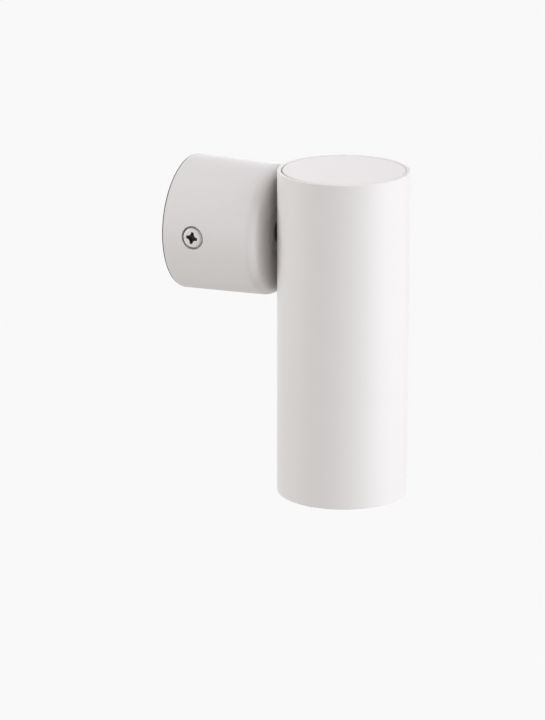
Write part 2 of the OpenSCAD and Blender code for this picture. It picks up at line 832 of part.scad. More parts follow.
module swivel_collar() {
    edge = 0.4;
    color(white) from_wall() difference() {
        union() {
            translate([0, 0, flange_back]) rotate_extrude() difference() {
                square([flange_d / 2, flange_t]);
                corner_cut(flange_d / 2, flange_t, edge, 1, 1);
            }
            translate([0, 0, flange_back]) cylinder(d = hub_d, h = tube_near + tube_wall - flange_back);
        }
        translate([0, 0, axis_out]) rotate([90, 0, 0]) cylinder(r = tube_r, h = flange_d * 2, center = true);
        translate([0, 0, flange_back - eps]) cylinder(r = run_r, h = joint_gap * 4);
    }
}

module lead_sleeve() {
    color(white) from_wall() translate([0, 0, sleeve_back])
        ring(sleeve_r, sleeve_r - sleeve_wall, sleeve_front - sleeve_back);
}

module head_tube() {
    color(white) on_tube() difference() {
        rotate_extrude() difference() {
            translate([bore_r, tube_bottom]) square([tube_wall, tube_l]);
            translate([bore_r - eps, cap_bottom]) square([cap_step + eps, cap_t + eps]);
            corner_cut(tube_r, tube_top, rim_r, 1, 1);
            corner_cut(seat_r, tube_top, rim_r, -1, 1);
            corner_cut(tube_r, tube_bottom, rim_r, 1, -1);
            corner_cut(bore_r, tube_bottom, rim_r, -1, -1);
        }
        rotate([-90, 0, 0]) cylinder(r = run_r, h = tube_d);
    }
}

module top_cap() {
    edge = 0.25;
    color(white) on_tube() rotate_extrude() difference() {
        translate([0, cap_bottom]) square([cap_r, cap_t]);
        corner_cut(cap_r, tube_top, edge, 1, 1);
        translate([-eps, cap_bottom - eps]) square([cap_r - cap_skirt + eps, cap_t - cap_plate + eps]);
        translate([oring_groove_r, oring_up - oring_groove_w / 2]) square([cap_r, oring_groove_w]);
    }
}

module cap_oring() {
    color(dark) on_tube() translate([0, 0, oring_up]) rotate_extrude()
        translate([oring_mid_r, 0]) circle(d = oring_cord);
}

module inner_saddle() {
    color(zinc) difference() {
        intersection() {
            from_wall() cylinder(d = saddle_d, h = strip_out);
            on_tube() cylinder(r = bore_r, h = saddle_d * 2, center = true);
        }
        from_wall() cylinder(r = run_r, h = strip_out + eps);
    }
}

// Side outline of the lamp bracket, in distance from the wall and height
module strip_outline() {
    r_out = strip_t + bend_r;
    end_out = axis_out + holder_d / 2;
    up = saddle_d / 2 + 1;
    translate([strip_out, holder_top + r_out]) square([strip_t, up - holder_top - r_out]);
    translate([strip_out + r_out, holder_top]) square([end_out - strip_out - r_out, strip_t]);
    translate([strip_out + r_out, holder_top + r_out]) intersection() {
        difference() {
            circle(r_out);
            circle(bend_r);
        }
        translate([-r_out, -r_out]) square(r_out);
    }
}

module lamp_bracket() {
    color(zinc) difference() {
        intersection() {
            translate([strip_w / 2, 0, 0]) rotate([90, 0, -90]) linear_extrude(strip_w) strip_outline();
            on_tube() union() {
                cylinder(r = holder_d / 2, h = tube_l * 2, center = true);
                translate([-strip_w / 2, 0, -tube_l]) cube([strip_w, tube_r, tube_l * 2]);
            }
        }
        from_wall() cylinder(r = run_r, h = axis_out);
        on_tube() {
            for (side = [-1, 1]) {
                translate([side * pin_r, 0, holder_top - eps])
                    cylinder(r = barrel_r + barrel_ease, h = strip_t + 2 * eps);
                translate([0, side * holder_screw_r, holder_top - eps])
                    cylinder(d = small_d + hole_ease, h = strip_t + 2 * eps);
            }
        }
    }
}

module head_earth_lug() {
    color(zinc) from_wall() translate([0, 0, lug_out]) ring_lug(run_r, tube_lug_r, lug_reach);
}

module toothed_washer() {
    color(zinc) from_wall() translate([0, 0, tooth_out]) toothed_ring(tube_lug_r, run_r, tooth_t, 10);
}

module tube_nut() {
    color(zinc) from_wall() translate([0, 0, nut_out])
        hex_nut(nut_flats, tube_nut_t, nipple_r + thread_clear);
}

// Room for a pin that turns from its entry to its locked place, without the entry's own hole
module pin_track(r, h) {
    band = r - track_relief;
    rotate(-lock_turn - track_over) rotate_extrude(angle = lock_turn + 2 * track_over)
        translate([pin_r - band, 0]) square([2 * band, h]);
    translate([pin_r, 0, 0]) cylinder(r = r, h = h);
}

module lampholder() {
    neck_r = pin_d / 2 + pin_clear;
    foot_r = pin_head_d / 2 + pin_clear;
    color(steatite) on_tube() difference() {
        union() {
            translate([0, 0, holder_face]) cylinder(d = holder_d, h = holder_collar);
            translate([0, 0, holder_face]) block([holder_block.x, holder_block.y, holder_h]);
            for (side = [-1, 1]) translate([0, side * holder_screw_r, holder_face])
                cylinder(r = small_d / 2 + pillar_wall, h = holder_h);
        }
        for (turn = [0, 180]) rotate(turn) {
            translate([0, 0, holder_face - eps]) pin_track(neck_r, holder_front + 2 * eps);
            translate([0, 0, cavity_bottom]) pin_track(foot_r, cavity_top - cavity_bottom);
            rotate(-lock_turn) translate([pin_r, 0, holder_face - eps])
                cylinder(r = foot_r + track_relief, h = cavity_top - holder_face + eps);
            translate([pin_r, 0, cavity_top - eps]) cylinder(r = barrel_r + 0.1, h = holder_h);
        }
        for (side = [-1, 1]) translate([0, side * holder_screw_r, holder_top - pilot_l])
            cylinder(d = small_d + thread_ease, h = pilot_l + eps);
    }
}

module holder_contacts() {
    leaf_w = 3.9;
    stem_top = holder_top - 2;
    color(brass_tone) on_tube() for (side = [-1, 1]) translate([side * pin_r, 0, 0]) difference() {
        union() {
            translate([0, 0, leaf_bottom]) block([leaf_w, leaf_w, leaf_t]);
            translate([0, 0, leaf_bottom]) cylinder(r = lead_r, h = stem_top - leaf_bottom);
            translate([0, 0, stem_top]) cylinder(r = barrel_r, h = contact_top - stem_top);
        }
        translate([0, 0, stem_top + 0.6]) cylinder(r = barrel_bore, h = contact_top - stem_top);
    }
}

module holder_screws() {
    color(zinc) on_tube() for (side = [-1, 1]) translate([0, side * holder_screw_r, strip_top])
        small_screw(strip_t + holder_screw_grip);
}

module head_lead_live() {
    color("saddlebrown") lead([
        at(live_at.x, head_lead_back, live_at.y), at(live_at.x, sleeve_front + live_past, live_at.y),
        at(-pin_r, axis_out, -lead_drop), at(-pin_r, axis_out, contact_bottom)
    ]);
}

module head_lead_neutral() {
    color("steelblue") lead([
        at(neutral_at.x, head_lead_back, neutral_at.y),
        at(neutral_at.x, sleeve_front + neutral_past, neutral_at.y),
        at(pin_r, axis_out, -lead_drop), at(pin_r, axis_out, contact_bottom)
    ]);
}

module head_lead_earth() {
    color("olivedrab") lead([
        at(earth_at.x, head_lead_back, earth_at.y), at(earth_at.x, sleeve_front + earth_past, earth_at.y),
        at(lug_reach, sleeve_front + earth_past, 0), at(lug_reach, tooth_out + lug_space, 0)
    ]);
}

// Half outline of the lamp: rim, curved bowl and straight neck, about the y axis
module lamp_outline() {
    rim_h = 4;
    neck_h = 15;
    bowl_h = lamp_l - rim_h - neck_h;
    face_r = lamp_d / 2;
    neck_r = neck_d / 2;
    steps = 12;
    polygon(concat(
        [[0, 0], [face_r, 0], [face_r, rim_h]],
        [for (i = [1 : steps]) let (t = i / steps)
            [neck_r + (face_r - neck_r) * (1 - pow(t, 1.6)), rim_h + bowl_h * t]],
        [[neck_r, lamp_l], [0, lamp_l]]
    ));
}

module lamp_body() {
    color(white) on_tube() translate([0, 0, lamp_face]) rotate_extrude() difference() {
        lamp_outline();
        translate([-eps, -eps]) square([lens_r + 0.1 + eps, lens_sunk + lens_t + eps]);
        translate([-eps, 0]) square([lens_r - 1.4 + eps, lens_sunk + lens_t + board_gap + board_t]);
    }
}

module lamp_lens() {
    color([0.95, 0.95, 0.92]) on_tube() translate([0, 0, lamp_face + lens_sunk])
        cylinder(r = lens_r, h = lens_t);
}

module lamp_pins() {
    color(zinc) on_tube() for (side = [-1, 1]) translate([side * pin_r, 0, lamp_base]) {
        cylinder(d = pin_d, h = pin_l);
        translate([0, 0, pin_l - pin_head_h]) cylinder(d = pin_head_d, h = pin_head_h);
    }
}

module led_board() {
    board_up = lamp_face + lens_sunk + lens_t + board_gap;
    led_size = 3;
    led_h = 0.8;
    color(white) on_tube() translate([0, 0, board_up]) {
        cylinder(r = lens_r - 1.6, h = board_t);
        for (i = [0 : 5]) rotate(i * 60) translate([lens_r * 0.5, 0, -led_h])
            block([led_size, led_size, led_h + board_t / 2]);
        translate([0, 0, -led_h]) block([led_size, led_size, led_h + board_t / 2]);
    }
}

wall_bracket();
clinch_nuts();
cable_grommet();
wall_gasket();
wall_cup();
cup_screws();
terminal_block();
terminal_clamps();
terminal_screws();
block_screws();
earth_screw();
earth_washer();
earth_lugs();
base_lead_live();
base_lead_neutral();
base_lead_earth();
earth_bond();
friction_washer();
slide_washer();
stop_washer();
disc_spring();
lock_nuts();
swivel_nipple();
swivel_collar();
lead_sleeve();
head_tube();
top_cap();
cap_oring();
inner_saddle();
lamp_bracket();
head_earth_lug();
toothed_washer();
tube_nut();
lampholder();
holder_contacts();
holder_screws();
head_lead_live();
head_lead_neutral();
head_lead_earth();
lamp_body();
lamp_lens();
lamp_pins();
led_board();
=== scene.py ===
from math import cos, hypot, pi, radians, sin, sqrt

import bmesh
import bpy
from mathutils import Matrix, Vector


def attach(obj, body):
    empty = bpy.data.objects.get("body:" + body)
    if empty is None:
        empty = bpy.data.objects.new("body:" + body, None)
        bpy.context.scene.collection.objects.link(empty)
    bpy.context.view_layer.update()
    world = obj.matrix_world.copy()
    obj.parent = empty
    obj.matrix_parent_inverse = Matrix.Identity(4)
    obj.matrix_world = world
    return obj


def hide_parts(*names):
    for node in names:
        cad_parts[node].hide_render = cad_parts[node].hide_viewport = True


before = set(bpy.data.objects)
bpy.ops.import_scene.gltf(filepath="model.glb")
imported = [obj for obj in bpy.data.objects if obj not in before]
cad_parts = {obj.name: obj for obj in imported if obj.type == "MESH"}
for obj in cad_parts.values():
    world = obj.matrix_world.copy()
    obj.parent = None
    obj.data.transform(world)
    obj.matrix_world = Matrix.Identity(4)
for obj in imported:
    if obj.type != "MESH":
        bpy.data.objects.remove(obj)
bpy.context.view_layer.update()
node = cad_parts
scene = bpy.context.scene

# Camera: a long lens to the left of the lamp and a little above it, aimed at the tube's axis
# and then moved aside and down, so that there is clear space under the tube.
azimuth = radians(-64.591)
elevation = radians(16.655)
away = Vector((sin(azimuth) * cos(elevation), -cos(azimuth) * cos(elevation), sin(elevation)))
aside = Vector((cos(azimuth), sin(azimuth), 0))
above = away.cross(aside)
aim = Vector((0, -0.07643, 0))
shift_aside, shift_down, distance = 0.03210, 0.05543, 1.5878
lens = bpy.data.cameras.new("studio_camera")
lens.sensor_fit = "VERTICAL"
lens.sensor_height = 36
lens.lens = 175.25
lens.dof.use_dof = False
camera = bpy.data.objects.new("studio_camera", lens)
camera.location = aim - aside * shift_aside - above * shift_down + away * distance
camera.rotation_euler = (pi / 2 - elevation, 0, azimuth)
scene.collection.objects.link(camera)
scene.camera = camera
scene.view_settings.view_transform = "Standard"


# Studio: plain air and a plain pale floor far below. What looks straight at them sees one
# even pale tone, and the object gets a quieter light from them.
backdrop = (0.945, 0.945, 0.955, 1)
floor_half, floor_z = 30, -2.2


def seen_directly(tree):
    """Value that is one for a ray from the camera or off something shiny or clear."""
    path = tree.nodes.new("ShaderNodeLightPath")
    total = path.outputs["Is Camera Ray"]
    for kind in ("Is Glossy Ray", "Is Transmission Ray"):
        either = tree.nodes.new("ShaderNodeMath")
        either.operation = "MAXIMUM"
        tree.links.new(total, either.inputs[0])
        tree.links.new(path.outputs[kind], either.inputs[1])
        total = either.outputs[0]
    return total


air = bpy.data.worlds.new("studio_air")
air.use_nodes = True
scene.world = air
tree = air.node_tree
tree.nodes.clear()
quiet = tree.nodes.new("ShaderNodeBackground")
quiet.inputs["Color"].default_value = (1, 0.9, 0.86, 1)
quiet.inputs["Strength"].default_value = 0.33
plain = tree.nodes.new("ShaderNodeBackground")
plain.inputs["Color"].default_value = backdrop
choice = tree.nodes.new("ShaderNodeMixShader")
tree.links.new(seen_directly(tree), choice.inputs[0])
tree.links.new(quiet.outputs[0], choice.inputs[1])
tree.links.new(plain.outputs[0], choice.inputs[2])
end = tree.nodes.new("ShaderNodeOutputWorld")
tree.links.new(choice.outputs[0], end.inputs["Surface"])

floor_paint = bpy.data.materials.new("floor_paint")
floor_paint.use_nodes = True
tree = floor_paint.node_tree
tree.nodes.clear()
matt = tree.nodes.new("ShaderNodeBsdfDiffuse")
matt.inputs["Color"].default_value = (0.8, 0.8, 0.79, 1)
pale = tree.nodes.new("ShaderNodeEmission")
pale.inputs["Color"].default_value = backdrop
choice = tree.nodes.new("ShaderNodeMixShader")
tree.links.new(seen_directly(tree), choice.inputs[0])
tree.links.new(matt.outputs[0], choice.inputs[1])
tree.links.new(pale.outputs[0], choice.inputs[2])
end = tree.nodes.new("ShaderNodeOutputMaterial")
tree.links.new(choice.outputs[0], end.inputs["Surface"])

shape = bmesh.new()
bmesh.ops.create_grid(shape, x_segments=1, y_segments=1, size=floor_half)
bmesh.ops.translate(shape, verts=shape.verts, vec=(0, 0, floor_z))
floor_mesh = bpy.data.meshes.new("studio_floor")
shape.to_mesh(floor_mesh)
shape.free()
floor_mesh.materials.append(floor_paint)
floor = bpy.data.objects.new("studio_floor", floor_mesh)
scene.collection.objects.link(floor)


# Lamps: square soft boxes round the object. Two stand in front and one hangs overhead. Those low
# down and behind give back the light that pale surroundings would.
box_side = 1.4
middle = Vector((0, -0.05, -0.04))


def soft_lamp(name, place, power, colour):
    """Soft box at a place, turned to the object's middle."""
    light = bpy.data.lights.new(name, "AREA")
    light.size = box_side
    light.energy = power
    light.color = colour
    box = bpy.data.objects.new(name, light)
    box.location = place
    box.rotation_euler = (Vector(place) - middle).to_track_quat("Z", "Y").to_euler()
    box.visible_camera = False
    scene.collection.objects.link(box)


soft_lamp("front_box", (0, -2.15, -0.04), 19.4, (0.965, 0.99, 0.975))
soft_lamp("high_front_box", (0, -1.77, 1.165), 23, (0.88, 0.89, 1))
soft_lamp("top_box", (0, -0.12, 2.06), 6.6, (0.98, 1, 0.99))
soft_lamp("low_left_box", (-0.86, -1.54, -1.245), 5.8, (0.95, 1, 1))
soft_lamp("back_left_box", (-1.28, 1.59, 0.25), 25, (0.97, 0.985, 1))
soft_lamp("back_right_box", (1.58, 1.28, 0.33), 14, (1, 1, 1))


# Head tube: drawn aluminium, 60 mm across, cut square and rounded a little on its rims, with a
# seat turned in its top for the cap and one hole for the swivel. Matte white powder coat.
MM = 0.001
axis_out = 76.4
tube_r, bore_r, seat_r = 30, 27.75, 28.25
tube_top, tube_bottom, seat_floor = 31.5, -120, 25.5
rim = 0.35
nipple_hole = 5.03
drill_l = 40
near = 0.001 * MM


def turned(outline, rounds=(), steps=192):
    """Turns an outline of radius and height about the z axis and rounds some of its rings."""
    shape = bmesh.new()
    ends = [shape.verts.new((r * MM, 0, h * MM)) for r, h in outline]
    sides = [shape.edges.new(pair) for pair in zip(ends, ends[1:])]
    if outline[0][0] or outline[-1][0]:
        sides.append(shape.edges.new((ends[-1], ends[0])))
    bmesh.ops.spin(shape, geom=ends + sides, axis=(0, 0, 1), angle=2 * pi, steps=steps, use_merge=True)
    bmesh.ops.remove_doubles(shape, verts=shape.verts, dist=near)
    bmesh.ops.recalc_face_normals(shape, faces=shape.faces)
    for r, h, radius, segments in rounds:
        ring = [e for e in shape.edges if all(
            abs(hypot(v.co.x, v.co.y) - r * MM) < near and abs(v.co.z - h * MM) < near
            for v in e.verts)]
        bmesh.ops.bevel(shape, geom=ring, offset=radius * MM, offset_type="OFFSET", affect="EDGES",
                        segments=segments, profile=0.5, material=-1)
    return shape


def moved(shape, place):
    """Moves a shape by a matrix."""
    bmesh.ops.transform(shape, matrix=place, verts=shape.verts)
    return shape


def at(x, y, z):
    """Shift by distances in mm."""
    return Matrix.Translation((x * MM, y * MM, z * MM))


def turn(degrees, axis):
    """Turn about one of the axes."""
    return Matrix.Rotation(radians(degrees), 4, axis)


on_tube = at(0, -axis_out, 0)
on_cup = turn(90, "X")


def solid(name, shape, *materials, crease=38):
    """Finished piece from a shape, smooth except where its faces meet at a crease."""
    mesh = bpy.data.meshes.new(name)
    shape.to_mesh(mesh)
    shape.free()
    mesh.shade_smooth()
    mesh.set_sharp_from_angle(angle=radians(crease))
    for material in materials:
        mesh.materials.append(material)
    piece = bpy.data.objects.new(name, mesh)
    scene.collection.objects.link(piece)
    even = piece.modifiers.new("even_shading", "WEIGHTED_NORMAL")
    even.keep_sharp = True
    return piece


def carved(body, tool, operation="DIFFERENCE"):
    """Cuts one shape from another, or joins them."""
    blanks = []
    for shape in (body, tool):
        mesh = bpy.data.meshes.new("blank")
        shape.to_mesh(mesh)
        shape.free()
        blank = bpy.data.objects.new("blank", mesh)
        scene.collection.objects.link(blank)
        blanks.append(blank)
    step = blanks[0].modifiers.new("carve", "BOOLEAN")
    step.operation = operation
    step.solver = "EXACT"
    step.object = blanks[1]
    made = bmesh.new()
    made.from_object(blanks[0], bpy.context.evaluated_depsgraph_get())
    for blank in blanks:
        mesh = blank.data
        bpy.data.objects.remove(blank)
        bpy.data.meshes.remove(mesh)
    return made


def finish(name, colour, roughness, grain=0.5, depth=0.01, mottle=0.02, cloud=9, metallic=0.0,
           varied=0.05):
    """Surface with a fine grain in relief and slow changes of shade and gloss, sizes in mm."""
    material = bpy.data.materials.new(name)
    material.use_nodes = True
    tree = material.node_tree
    shader = tree.nodes["Principled BSDF"]
    shader.inputs["Metallic"].default_value = metallic
    place = tree.nodes.new("ShaderNodeTexCoord").outputs["Object"]

    def noise(size, detail):
        pattern = tree.nodes.new("ShaderNodeTexNoise")
        pattern.inputs["Scale"].default_value = 1 / (size * MM)
        pattern.inputs["Detail"].default_value = detail
        tree.links.new(place, pattern.inputs["Vector"])
        return pattern.outputs["Fac"]

    slow = noise(cloud, 2)
    fine = noise(grain, 3)
    shade = tree.nodes.new("ShaderNodeMix")
    shade.data_type = "RGBA"
    shade.inputs["A"].default_value = (*[c * (1 - mottle) for c in colour], 1)
    shade.inputs["B"].default_value = (*[min(1, c * (1 + mottle)) for c in colour], 1)
    tree.links.new(slow, shade.inputs["Factor"])
    tree.links.new(shade.outputs["Result"], shader.inputs["Base Color"])
    gloss = tree.nodes.new("ShaderNodeMapRange")
    gloss.inputs["To Min"].default_value = roughness - varied
    gloss.inputs["To Max"].default_value = roughness + varied
    tree.links.new(fine, gloss.inputs["Value"])
    tree.links.new(gloss.outputs["Result"], shader.inputs["Roughness"])
    relief = tree.nodes.new("ShaderNodeBump")
    relief.inputs["Strength"].default_value = 1
    relief.inputs["Distance"].default_value = depth * MM
    tree.links.new(fine, relief.inputs["Height"])
    tree.links.new(relief.outputs["Normal"], shader.inputs["Normal"])
    return material


white = (0.80, 0.786, 0.778)
powder_coat = finish("powder_coat", white, 0.52, grain=0.7, depth=0.045, mottle=0.008, cloud=14)

tube = turned(
    [(tube_r, tube_bottom), (tube_r, tube_top), (seat_r, tube_top), (seat_r, seat_floor),
     (bore_r, seat_floor), (bore_r, tube_bottom)],
    [(tube_r, tube_top, rim, 5), (seat_r, tube_top, rim, 5),
     (tube_r, tube_bottom, rim, 5), (bore_r, tube_bottom, rim, 5)])
drill = turned([(0, 0), (nipple_hole, 0), (nipple_hole, drill_l), (0, drill_l)], steps=64)
tube = carved(tube, moved(drill, turn(-90, "X")))
head_tube = solid("painted_head_tube", moved(tube, on_tube), powder_coat)
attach(head_tube, "head")
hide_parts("head_tube")


# Top cap: a turned aluminium cup pushed into the tube's seat until it is flush, held by an
# O-ring in its groove. It sits a hair off centre in its clearance. Coated as the tube is.
cap_r, cap_edge = 27.9, 0.25
cap_aside = at(0.01, -0.22, 0)
cap_under = 29
skirt_r = 24.1
groove_r, groove_top, groove_bottom = 26.55, 29.2, 27.2
cap = turned(
    [(0, tube_top), (cap_r, tube_top), (cap_r, groove_top), (groove_r, groove_top),
     (groove_r, groove_bottom), (cap_r, groove_bottom), (cap_r, seat_floor), (skirt_r, seat_floor),
     (skirt_r, cap_under), (0, cap_under)],
    [(cap_r, tube_top, cap_edge, 4), (cap_r, seat_floor, cap_edge, 3)])
top_cap = solid("painted_top_cap", moved(cap, on_tube @ cap_aside), powder_coat)
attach(top_cap, "head")
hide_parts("top_cap")


# Wall cup: a die-cast aluminium cup with a slight draft, a soft front edge, a shallow recess
# for the swivel's flange, a pin inside that stops the swivel, and on each side a boss and a sunk
# hole for its screw. Powder coated.
cup_r, cup_base, cup_l = 31.2, 0.5, 44.8
cup_front_r = 29.936
cup_edge, base_edge, recess_edge = 4.4, 0.3, 0.12
inner_r, inner_front_r, inner_l, inner_edge = 27.9, 27.472, 41.4, 2.0
recess_r, recess_floor = 11.7, 43.4
screw_out = 15
boss_r, boss_back, boss_root, boss_edge = 7.5, 24.05, 28.9, 0.4
stop_r, stop_end, stop_root, stop_up, stop_edge = 1.5, 38.9, 42, 13, 0.2
sunk_r, sunk_floor = 5.45, 27.15
mouth_edge, mouth_step = 0.4, 15
screw_hole, hole_start, margin = 2.7, 20, 1
cup = turned(
    [(cup_r, cup_base), (cup_front_r, cup_l), (recess_r, cup_l), (recess_r, recess_floor),
     (nipple_hole, recess_floor), (nipple_hole, inner_l), (inner_front_r, inner_l), (inner_r, cup_base)],
    [(cup_front_r, cup_l, cup_edge, 12), (inner_front_r, inner_l, inner_edge, 6),
     (recess_r, cup_l, recess_edge, 2), (cup_r, cup_base, base_edge, 3)])


def together(*shapes):
    """One shape from several."""
    whole = bmesh.new()
    for shape in shapes:
        mesh = bpy.data.meshes.new("blank")
        shape.to_mesh(mesh)
        shape.free()
        whole.from_mesh(mesh)
        bpy.data.meshes.remove(mesh)
    return whole


def at_screw(side):
    """Place of a side screw's axis, which runs outwards, with the cup's own axis upright."""
    return turn(side, "Z") @ at(0, 0, screw_out) @ turn(90, "Y")


bosses = [moved(turned([(0, boss_back), (boss_r, boss_back), (boss_r, boss_root), (0, boss_root)],
                       [(boss_r, boss_back, boss_edge, 3)], steps=64), at_screw(side))
          for side in (0, 180)]
stop_pin = turned([(0, stop_end), (stop_r, stop_end), (stop_r, stop_root), (0, stop_root)],
                  [(stop_r, stop_end, stop_edge, 2)], steps=32)
cup = carved(cup, together(*bosses, moved(stop_pin, at(0, stop_up, 0))), "UNION")


def hole_tool():
    """Drill for a side screw, whose mouth follows the cup's side and rounds it over."""
    top = (cup_r + cup_front_r) / 2
    lip = [(sunk_r + mouth_edge * (1 - cos(radians(step))), top - mouth_edge * (1 - sin(radians(step))))
           for step in range(0, 91, mouth_step)]
    drill = turned([(0, hole_start), (screw_hole, hole_start), (screw_hole, sunk_floor),
                    (sunk_r, sunk_floor), *lip, (sunk_r + mouth_edge, top + margin), (0, top + margin)],
                   steps=96)
    for vert in drill.verts:
        if vert.co.z > (sunk_floor + margin) * MM and hypot(vert.co.x, vert.co.y) > margin * MM:
            along = screw_out - vert.co.x / MM
            side_r = cup_r + (cup_front_r - cup_r) * (along - cup_base) / (cup_l - cup_base)
            vert.co.z += (sqrt(side_r ** 2 - (vert.co.y / MM) ** 2) - top) * MM
    return drill


cup = carved(cup, together(moved(hole_tool(), at_screw(0)), moved(hole_tool(), at_screw(180))))
wall_cup = solid("painted_wall_cup", moved(cup, on_cup), powder_coat)
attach(wall_cup, "wall_base")
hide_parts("wall_cup")


# Wall gasket: a ring cut from thin closed-cell foam and stuck to the cup's rim. It keeps damp out
# of the joint behind the cup.
foam = finish("gasket_foam", (0.035, 0.035, 0.037), 0.8, grain=0.3, depth=0.03, mottle=0.15, cloud=3)
gasket_out, gasket_in, gasket_t, gasket_edge = 30.9, 28.4, 0.5, 0.08
gasket = turned([(gasket_out, 0), (gasket_out, gasket_t), (gasket_in, gasket_t), (gasket_in, 0)],
                [(gasket_out, 0, gasket_edge, 2), (gasket_out, gasket_t, gasket_edge, 2)])
wall_gasket = solid("foam_wall_gasket", moved(gasket, on_cup), foam)
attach(wall_gasket, "wall_base")
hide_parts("wall_gasket")


# Side screws: two steel machine screws with pan heads and cross recesses, driven into the nuts in
# the bracket's ears, a little aside in their holes. The head has the cup's coat and the thread is
# bare zinc plate. The recess is coloured near black as painted shade, for the shadow that falls in it.
head_r, head_h, head_edge, seat_round = 4.6, 3.2, 1.1, 0.15
screw_r, screw_l, tip_in = 2.45, 10, 0.4
thread_step, thread_depth, ridges = 0.8, 0.3, 12
screw_aside = 0.2
cross_w, cross_arm, cross_depth, cross_turn = 5.6, 1.3, 2.3, 9
recess_reach, skin, hair = 3.1, 0.005, 0.05
head_paint = finish("head_paint", white, 0.45, grain=0.4, depth=0.012, mottle=0.01, cloud=4)
# Near-black painted shade for the cross recess, in place of the shadow inside it.
painted_shade_recess = finish("painted_shade_recess", (0.03, 0.03, 0.031), 0.5, grain=0.15, depth=0.02, mottle=0.2,
                     cloud=0.8)
bright_zinc = finish("bright_zinc", (0.62, 0.64, 0.67), 0.3, grain=0.5, depth=0.004, mottle=0.06,
                     cloud=4, metallic=1.0, varied=0.08)


def cross_tool(width, arm, depth):
    """Tool that sinks a cross with hollow flanks and a pointed middle into a screw's head."""
    w, a = width / 2, arm / 2
    flank = [(w, a), (0.78 * w, 1.1 * a), (0.6 * w, 1.35 * a), (0.42 * w, 0.42 * w),
             (1.35 * a, 0.6 * w), (1.1 * a, 0.78 * w), (a, w)]
    tool = bmesh.new()
    for quarter in range(4):
        for x, y in flank:
            tool.verts.new(turn(90 * quarter, "Z") @ Vector((x * MM, y * MM, 0)))
    face = tool.faces.new(tool.verts)
    wide, level = 1, 0.5
    bmesh.ops.translate(tool, vec=(0, 0, level * MM), verts=face.verts)
    narrower = ((1, 0), (0.93, -0.12), (0.8, -0.6 * depth), (0.48, -0.85 * depth), (0.1, -depth))
    for scale, height in narrower:
        grown = bmesh.ops.extrude_face_region(tool, geom=[face, *face.edges, *face.verts])["geom"]
        face = next(g for g in grown if isinstance(g, bmesh.types.BMFace))
        bmesh.ops.scale(tool, vec=(scale / wide, scale / wide, 1), verts=face.verts)
        bmesh.ops.translate(tool, vec=(0, 0, (height - level) * MM), verts=face.verts)
        wide, level = scale, height
    bmesh.ops.recalc_face_normals(tool, faces=tool.faces)
    return tool


def cup_screw():
    """Side screw that stands on z = 0 with its thread below."""
    thread = []
    for ridge in range(1, ridges):
        thread += [(screw_r, -thread_step * ridge), (screw_r - thread_depth, -thread_step * (ridge + 0.5))]
    shape = turned([(0, head_h), (head_r, head_h), (head_r, 0), *thread, (screw_r - tip_in, -screw_l),
                    (0, -screw_l)],
                   [(head_r, head_h, head_edge, 7), (head_r, 0, seat_round, 2)], steps=72)
    shape = carved(shape, moved(cross_tool(cross_w, cross_arm, cross_depth), at(0, 0, head_h)))
    # Faces inside the cross recess take the near-black painted shade; the head takes the coat and the
    # thread the zinc.
    for face in shape.faces:
        centre = face.calc_center_median() / MM
        in_recess = hypot(centre.x, centre.y) < recess_reach and 0 < centre.z < head_h - skin
        face.material_index = 2 if in_recess else 1 if centre.z < -hair else 0
    return shape


screws = [moved(moved(cup_screw(), turn(lean, "Z")), at_screw(side) @ at(screw_aside, 0, sunk_floor))
          for side, lean in ((0, cross_turn), (180, -cross_turn))]
cup_screws = solid("painted_side_screws", moved(together(*screws), on_cup),
                   head_paint, bright_zinc, painted_shade_recess)
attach(cup_screws, "wall_base")
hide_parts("cup_screws")


# Swivel collar: a turned aluminium flange that lies in the cup's recess, with a hub whose end is
# shaped to the tube. The flange is painted over its turning lines, and the hub is coloured near black as
# painted shade of the narrow gap it stands in.
collar_back, flange_face, hub_end = 43.95, 44.7, 48.6
flange_r, hub_r, flange_edge, back_edge = 11.2, 6, 0.2, 0.15
line_radii, line_w, line_depth = (10.2, 9.0, 7.6), 0.25, 0.12
face_lines = []
for r in line_radii:
    face_lines += [(r, flange_face), (r, flange_face - line_depth),
                   (r - line_w, flange_face - line_depth), (r - line_w, flange_face)]
collar = turned(
    [(nipple_hole, collar_back), (flange_r, collar_back), (flange_r, flange_face), *face_lines,
     (hub_r, flange_face), (hub_r, hub_end), (nipple_hole, hub_end)],
    [(flange_r, flange_face, flange_edge, 3), (flange_r, collar_back, back_edge, 2)], steps=144)
tube_form = turned([(0, -drill_l), (tube_r, -drill_l), (tube_r, drill_l), (0, drill_l)])
collar = carved(collar, moved(tube_form, at(0, 0, axis_out) @ turn(90, "X")))
# The hub's faces take the near-black painted shade of the gap between cup and tube.
for face in collar.faces:
    centre = face.calc_center_median()
    if hypot(centre.x, centre.y) < (hub_r + hair) * MM and centre.z > flange_face * MM:
        face.material_index = 1
# Near-black painted shade for the hub, standing in for the shadow deep in the gap.
painted_shade_hub = finish("painted_shade_hub", (0.022, 0.021, 0.02), 0.6, grain=0.4, depth=0.01, mottle=0.15, cloud=3)
swivel_collar = solid("painted_swivel_collar", moved(collar, on_cup), powder_coat, painted_shade_hub)
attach(swivel_collar, "head")
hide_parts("swivel_collar")


